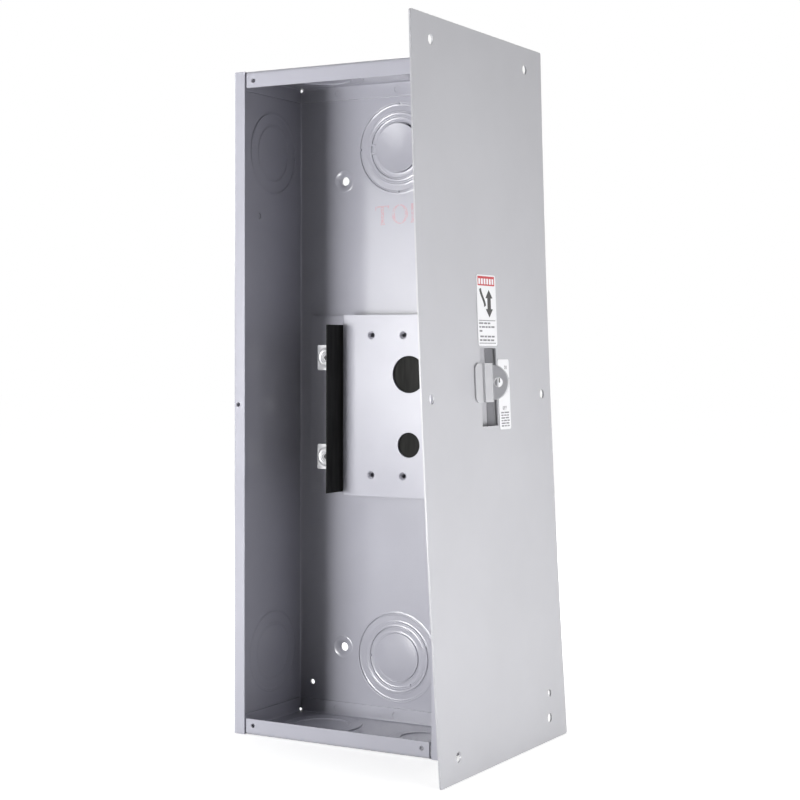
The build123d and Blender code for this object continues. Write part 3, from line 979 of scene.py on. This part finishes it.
    def tapped_places(self) -> list[Triple]:
        """Places of the cover-screw holes.

        Returns:
            The six middles on the front flanges.
        """
        low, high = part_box("bottom_end_cap")[0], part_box("top_end_cap")[1]
        half_width = high.x + self.seam + self.sheet
        ends = [
            (side * (half_width - self.end_screw_from_side), low.y, z)
            for side in (-1, 1)
            for z in (low.z + self.end_screw_from_end, high.z - self.end_screw_from_end)
        ]
        edge = half_width - self.side_screw_from_edge
        return ends + [(side * edge, low.y, (low.z + high.z) / 2) for side in (-1, 1)]

    def threads(self) -> None:
        """Builds the threads of the cover-screw holes."""
        thread = Thread(self.tapped_radius, self.sheet, self.thread_pitch)
        ridges = [thread.ridge(at) for at in self.tapped_places()]
        piece("flange_threads", ridges, self.finishes.box)

    def build(self) -> None:
        """Builds the pressings, the stamp and the threads."""
        self.lips()
        self.slugs()
        self.feet()
        self.stamp()
        self.threads()

    def dress(self) -> None:
        """Paints the wrapper and the ends."""
        dress(self.finishes.box, "box_wrapper", "top_end_cap", "bottom_end_cap")


@dataclass
class BreakerPan:
    """Hat-section pan with its fibre pieces, rivets, ground lugs and tapped collars."""

    finishes: Finishes
    hole_radius: float = 2.0 * MM
    hole_across: float = 25.8 * MM
    hole_up: float = 98.8 * MM
    hole_above_pan: float = 15.1 * MM
    lead_in: float = 0.9 * MM
    collar_end: float = 3.7 * MM
    thread_pitch: float = 0.7 * MM
    set_screw_radius: float = 3.05 * MM
    collar_radius: float = 6.0 * MM
    collar_height: float = 0.8 * MM
    collar_lip: RolledLip = RolledLip(1.25 * MM, 0.19 * MM)

    def collars(self) -> None:
        """Builds the lugs' rolled edges, round the set screws and where the collars end."""
        lip = self.collar_lip
        edges = []
        for place in ("lower", "upper"):
            low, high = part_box(f"ground_lug_{place}")
            at = Vector(((low.x + high.x) / 2, low.y, (low.z + high.z) / 2))
            front = Sheet(at, Vector((1, 0, 0)), Vector((0, 0, 1)))
            edges.append(lip.beside(front, self.set_screw_radius, 1))
            edges.append(lip.beside(front, self.collar_radius, -1))
            edges.append(lip.beside(front, self.collar_radius, 1, -self.collar_height))
        piece("lug_collars", edges, self.finishes.lug, smooth=True)

    def threads(self) -> None:
        """Builds the threads of the breaker-screw holes."""
        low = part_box("mounting_pan")[0]
        thread = Thread(self.hole_radius, self.collar_end - self.lead_in, self.thread_pitch)
        ridges = [
            thread.ridge((side * self.hole_across / 2, low.y + self.lead_in, low.z + up))
            for side in (-1, 1)
            for up in (self.hole_above_pan, self.hole_above_pan + self.hole_up)
        ]
        piece("pan_threads", ridges, self.finishes.pan)

    def build(self) -> None:
        """Builds the collars and the threads."""
        self.collars()
        self.threads()

    def dress(self) -> None:
        """Paints the pan and gives the fibre, rivets, lugs and screws their finishes."""
        dress(self.finishes.pan, "mounting_pan")
        dress(self.finishes.fibre, "rear_insulator", "lug_barrier")
        dress(self.finishes.rivet, "barrier_rivets")
        dress(self.finishes.lug, "ground_lug_lower", "ground_lug_upper")
        dress(self.finishes.screw, "lug_screw_lower", "lug_screw_upper")


@dataclass
class LabelPrint:
    """Fields of print on one sticker, in millimetres across and up from its lower left corner."""

    name: str
    finishes: Finishes
    sheet: Sheet
    corner: Pair
    lift: float
    ink: float = 0.05 * MM
    fields: dict[Ink, list[Patch]] = field(default_factory=dict)

    def add(self, ink: Ink, patch: Patch, scale: float = 1.0, at: Pair = (0, 0)) -> None:
        """Adds a field of one ink.

        Args:
            ink: The ink.
            patch: Strokes with two coordinates a point.
            scale: Millimetres to the strokes' unit.
            at: Place of the strokes' zero.
        """
        corner = np.array((self.corner[0] + at[0], self.corner[1] + at[1])) * MM
        placed = laid(patch, self.sheet, scale * MM, corner, self.lift + self.ink)
        self.fields.setdefault(ink, []).append(placed)

    def rows(self, ink: Ink, height: float, rows: tuple[Row, ...]) -> None:
        """Adds rows of short rules, as small print reads from afar.

        Args:
            ink: The ink.
            height: Height of a rule.
            rows: Left end, bottom and lengths of the rules in each row, a rule's height apart.
        """
        for left, bottom, lengths in rows:
            starts = left + np.cumsum((0.0, *lengths[:-1])) + height * np.arange(len(lengths))
            for start, length in zip(starts, lengths):
                self.add(ink, bar(start, bottom, length, height))

    def build(self) -> None:
        """Builds one piece for each ink."""
        for ink, patches in self.fields.items():
            finish = self.finishes.inks[ink]
            piece(f"{self.name}_{ink.value}", patches, finish, ink=self.ink)


@dataclass
class DataPrint(LabelPrint):
    """Upper sticker's print: a red band of blocks, a two-way arrow, a curve and rows of rules.

    A bar is its left, bottom, width and height. A row is its left, bottom and rules' lengths.
    """

    rails: tuple[Box, ...] = ((1.5, 43.7, 23.8, 1.5), (1.5, 39.1, 23.8, 0.9))
    posts: int = 7
    first_post: Box = (1.5, 40.0, 1.1, 3.7)
    last_post_left: float = 24.2
    head_base: tuple[Pair, ...] = ((12.3, 31.0), (17.0, 31.0), (21.7, 31.0))
    head_rise: tuple[Pair, ...] = ((0.0, 0.4), (0.0, 5.5), (0.0, 0.4))
    shaft: Box = (14.6, 24.0, 4.8, 7.0)
    arrow_middle: float = 27.5
    curve_top: Pair = (3.6, 36.8)
    curve_size: Pair = (6.2, 11.5)
    curve_stroke: Pair = (2.5, 0.7)
    curve_points: int = 25
    rules: tuple[Box, ...] = ((1.6, 16.2, 23.6, 0.5), (1.4, 1.5, 23.6, 0.5))
    text_height: float = 1.1
    text: tuple[Row, ...] = (
        (1.8, 14.1, (6.0, 4.0, 3.6)),
        (2.0, 11.7, (2.2, 4.4, 2.8, 3.2, 4.6)),
        (2.2, 9.1, (3.8,)),
        (2.9, 5.5, (5.0, 3.6, 4.4, 4.0)),
        (2.2, 3.1, (3.4, 5.0, 4.0, 4.6)),
    )

    def fill(self) -> None:
        """Adds the print; the curve eases across as a cubic step while it falls evenly."""
        for box in self.rails:
            self.add(Ink.RED, bar(*box))
        first, *post = self.first_post
        for left in np.linspace(first, self.last_post_left, self.posts):
            self.add(Ink.RED, bar(left, *post))
        base = np.array(self.head_base)
        tips, over = base + self.head_rise, np.array((0, 2 * self.arrow_middle))
        self.add(Ink.DARK, between(base, tips))
        self.add(Ink.DARK, bar(*self.shaft))
        self.add(Ink.DARK, between(over + tips * (1, -1), over + base * (1, -1)))
        fall = np.linspace(0, 1, self.curve_points)
        ease = fall**2 * (3 - 2 * fall)
        curve = np.stack((ease, -fall), axis=1) * self.curve_size + self.curve_top
        self.add(Ink.DARK, between(curve, curve + self.curve_stroke))
        for rule in self.rules:
            self.add(Ink.GREY, bar(*rule))
        self.rows(Ink.GREY, self.text_height, self.text)


@dataclass
class PositionPrint(LabelPrint):
    """Lower sticker's print: ON and OFF, a plain bar between them and rows of rules."""

    word_height: float = 2.5
    on_at: Pair = (11.2, 39.6)
    off_at: Pair = (8.0, 12.8)
    bars: tuple[Box, ...] = ((0.8, 31.0, 1.6, 3.0), (8.2, 31.0, 7.8, 3.0))
    text_height: float = 0.9
    text_at: Pair = (2.5, 10.6)
    text_pitch: float = 1.75
    text: tuple[tuple[float, ...], ...] = (
        (4.0, 6.6), (3.2, 3.6, 2.6), (5.4, 5.0), (2.8, 4.2, 3.2), (6.0, 4.6), (3.6, 3.0, 3.4)
    )

    def fill(self) -> None:
        """Adds the words, the bar in its two parts and the rows of rules."""
        letters = PlainLetters()
        self.add(Ink.GREY, letters.word("ON"), self.word_height, self.on_at)
        self.add(Ink.GREY, letters.word("OFF"), self.word_height, self.off_at)
        for box in self.bars:
            self.add(Ink.DARK, bar(*box))
        left, top = self.text_at
        rows = tuple((left, top - self.text_pitch * i, row) for i, row in enumerate(self.text))
        self.rows(Ink.GREY, self.text_height, rows)


@dataclass
class Cover:
    """Leaning cover, slightly bowed, with its two stickers and the guide behind its slot."""

    finishes: Finishes
    sheet: float = 1.2 * MM
    bow: float = 2.6 * MM
    height: float = 474.1 * MM
    label_front: float = 0.33 * MM
    data_label_at: Pair = (77.3, 269.9)
    position_label_at: Pair = (103.6, 214.8)

    def face(self) -> Sheet:
        """Outer face of the cover.

        Returns:
            The sheet, from the face's lower corner nearest the viewer.
        """
        low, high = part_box("cover_plate")
        up = Vector(frame["joints"][0]["axis"])
        lowest = low.z + self.sheet * abs(up.x)
        corner = Vector((high.x, low.y, lowest))
        return Sheet(corner, Vector((0, 1, 0)), up, self.height, self.bow)

    def build(self) -> None:
        """Builds the print on both stickers."""
        face, lift = self.face(), self.label_front
        upper = DataPrint("data_print", self.finishes, face, self.data_label_at, lift)
        lower = PositionPrint("position_print", self.finishes, face, self.position_label_at, lift)
        for label in (upper, lower):
            label.fill()
            label.build()

    def dress(self) -> None:
        """Paints the cover and its guide and gives the stickers their film."""
        dress(self.finishes.cover, "cover_plate", "handle_guide")
        dress(self.finishes.film, "data_label", "position_label")


@dataclass
class SlidingHandle:
    """Handle that slides in the cover's slot, with its shutter and fork behind."""

    finishes: Finishes

    def dress(self) -> None:
        """Paints the handle and its shutter and gives its fork and rivets their zinc."""
        dress(self.finishes.handle, "handle_base_plate", "handle_tab", "handle_spacer")
        dress(self.finishes.cover, "handle_shutter")
        dress(self.finishes.rivet, "handle_fork", "handle_rivets")


@dataclass(frozen=True)
class SoftBox:
    """Rectangular studio lamp aimed at a point."""

    name: str
    at: Triple
    aim: Triple
    width: float
    height: float
    radiance: float

    def build(self) -> None:
        """Hangs the lamp; its power is its radiance times pi times its area."""
        lamp = bpy.data.lights.new(self.name, "AREA")
        lamp.shape = "RECTANGLE"
        lamp.size = self.width
        lamp.size_y = self.height
        lamp.energy = self.radiance * math.pi * self.width * self.height
        hung = bpy.data.objects.new(self.name, lamp)
        hung.location = self.at
        towards = Vector(self.aim) - Vector(self.at)
        hung.rotation_euler = towards.to_track_quat("-Z", "Y").to_euler()
        bpy.context.scene.collection.objects.link(hung)


@dataclass
class Studio:
    """White studio: floor, background, softboxes and the camera of the photograph."""

    eye: Triple = (0.6141057, -1.0300943, 0.2669857)
    right: Triple = (0.8681526, 0.4962870, 0.0031988)
    up: Triple = (-0.0171833, 0.0236160, 0.9995734)
    focal_pixels: float = 1739.8607
    picture_pixels: float = 800.0
    sensor: float = 36.0
    near: float = 0.01
    floor_half: float = 6.0
    floor_below: float = 0.2 * MM
    floor_colour: Triple = (0.86, 0.86, 0.86)
    floor_glow: float = 0.62
    floor_white_from: Pair = (0.2, 0.6)
    bounces: int = 1
    lamps: tuple[SoftBox, ...] = (
        SoftBox("key_left", (-0.58, -1.0, 0.33), (-0.58, 0.0, 0.33), 0.16, 0.34, 9.6),
        SoftBox("key_middle", (-0.43, -1.0, 0.23), (-0.43, 0.0, 0.23), 0.14, 0.14, 45.0),
        SoftBox("key_low", (-0.29, -1.0, 0.09), (-0.29, 0.0, 0.09), 0.14, 0.14, 52.0),
        SoftBox("key_high", (-0.29, -1.0, 0.23), (-0.29, 0.0, 0.23), 0.14, 0.14, 20.0),
        SoftBox("key_end", (-0.135, -1.0, 0.09), (-0.135, 0.0, 0.09), 0.17, 0.14, 3.0),
        SoftBox("overhead", (-0.25, -0.6, 1.1), (0.0, 0.0, 0.1), 0.3, 0.3, 4.0),
        SoftBox("cover_near", (0.75, -0.3, 0.16), (0.1, -0.02, 0.15), 0.45, 0.28, 5.3),
        SoftBox("cover_far", (0.75, -0.05, 0.16), (0.1, -0.02, 0.15), 0.45, 0.28, 5.5),
        SoftBox("back_fill", (-0.2, 1.0, 1.05), (0.0, 0.04, 0.3), 0.8, 0.7, 5.0),
        SoftBox("side_fill", (-1.25, 0.4, 0.7), (-0.07, 0.05, 0.25), 0.7, 0.7, 3.6),
    )

    def camera(self) -> None:
        """Sets the camera by its eye and its right and up directions."""
        lens = bpy.data.cameras.new("photo_camera")
        lens.sensor_width = self.sensor
        lens.lens = self.sensor * self.focal_pixels / self.picture_pixels
        lens.clip_start = self.near
        seen_from = bpy.data.objects.new("photo_camera", lens)
        right, up = Vector(self.right), Vector(self.up)
        turn = Matrix((right, up, right.cross(up))).transposed().to_4x4()
        seen_from.matrix_world = Matrix.Translation(self.eye) @ turn
        bpy.context.scene.collection.objects.link(seen_from)
        bpy.context.scene.camera = seen_from

    @staticmethod
    def seen(tree: bpy.types.NodeTree) -> Socket:
        """One for camera, glossy and transmission rays and nought for the rest.

        Args:
            tree: Node tree to work in.

        Returns:
            The sum's output, held at one.
        """
        path = tree.nodes.new("ShaderNodeLightPath")
        total = path.outputs["Is Camera Ray"]
        for kind in ("Is Glossy Ray", "Is Transmission Ray"):
            add = tree.nodes.new("ShaderNodeMath")
            add.operation = "ADD"
            add.use_clamp = True
            tree.links.new(total, add.inputs[0])
            tree.links.new(path.outputs[kind], add.inputs[1])
            total = add.outputs[0]
        return total

    def background(self) -> None:
        """Makes the world white to the camera and to reflections, and no light by itself."""
        world = bpy.data.worlds.new("white_studio")
        world.use_nodes = True
        tree = world.node_tree
        sky = tree.nodes["Background"]
        sky.inputs["Color"].default_value = (1, 1, 1, 1)
        tree.links.new(self.seen(tree), sky.inputs["Strength"])
        bpy.context.scene.world = world

    def floor(self) -> None:
        """Lays a pale floor that keeps the part's shadow and is lifted to white for the camera."""
        side = np.linspace(-self.floor_half, self.floor_half, 3)
        across, along = np.meshgrid(side, side, indexing="ij")
        level = np.full_like(across, -self.floor_below)
        patch = Patch.grid(np.stack((across, along, level), axis=2))
        graph = Graph("pale_floor")
        paper = graph.add("ShaderNodeBsdfDiffuse", {"Color": self.floor_colour})
        length = graph.add("ShaderNodeVectorMath", {0: graph.coords}, operation="LENGTH")
        ends = (self.floor_glow, 1.0)
        white = graph.span(length.outputs["Value"], self.floor_white_from, ends)
        sockets = {0: self.seen(graph.tree), 1: white}
        strength = graph.add("ShaderNodeMath", sockets, operation="MULTIPLY").outputs[0]
        glow = graph.add("ShaderNodeEmission", {"Color": (1, 1, 1), "Strength": strength})
        both = graph.add("ShaderNodeAddShader", {0: paper.outputs[0], 1: glow.outputs[0]})
        graph.tree.links.new(both.outputs[0], graph.output.inputs["Surface"])
        mesh = bpy.data.meshes.new("floor")
        mesh.from_pydata(patch.points.tolist(), [], patch.faces.tolist())
        mesh.materials.append(graph.material)
        floor = bpy.data.objects.new("floor", mesh)
        bpy.context.scene.collection.objects.link(floor)

    def build(self) -> None:
        """Sets up the whole studio."""
        self.camera()
        self.background()
        self.floor()
        for lamp in self.lamps:
            lamp.build()
        bpy.context.scene.cycles.diffuse_bounces = self.bounces
        bpy.context.scene.view_settings.view_transform = "Standard"


def main() -> None:
    """Builds and dresses the sub-assemblies in order, then the studio round them."""
    logging.basicConfig(level=logging.INFO, format="%(name)s: %(message)s")
    finishes = Finishes()
    box, pan, cover = BoxShell(finishes), BreakerPan(finishes), Cover(finishes)
    for assembly in (box, pan, cover):
        assembly.build()
    for assembly in (box, pan, cover, SlidingHandle(finishes)):
        assembly.dress()
    Studio().build()


if __name__ == "__main__":
    main()
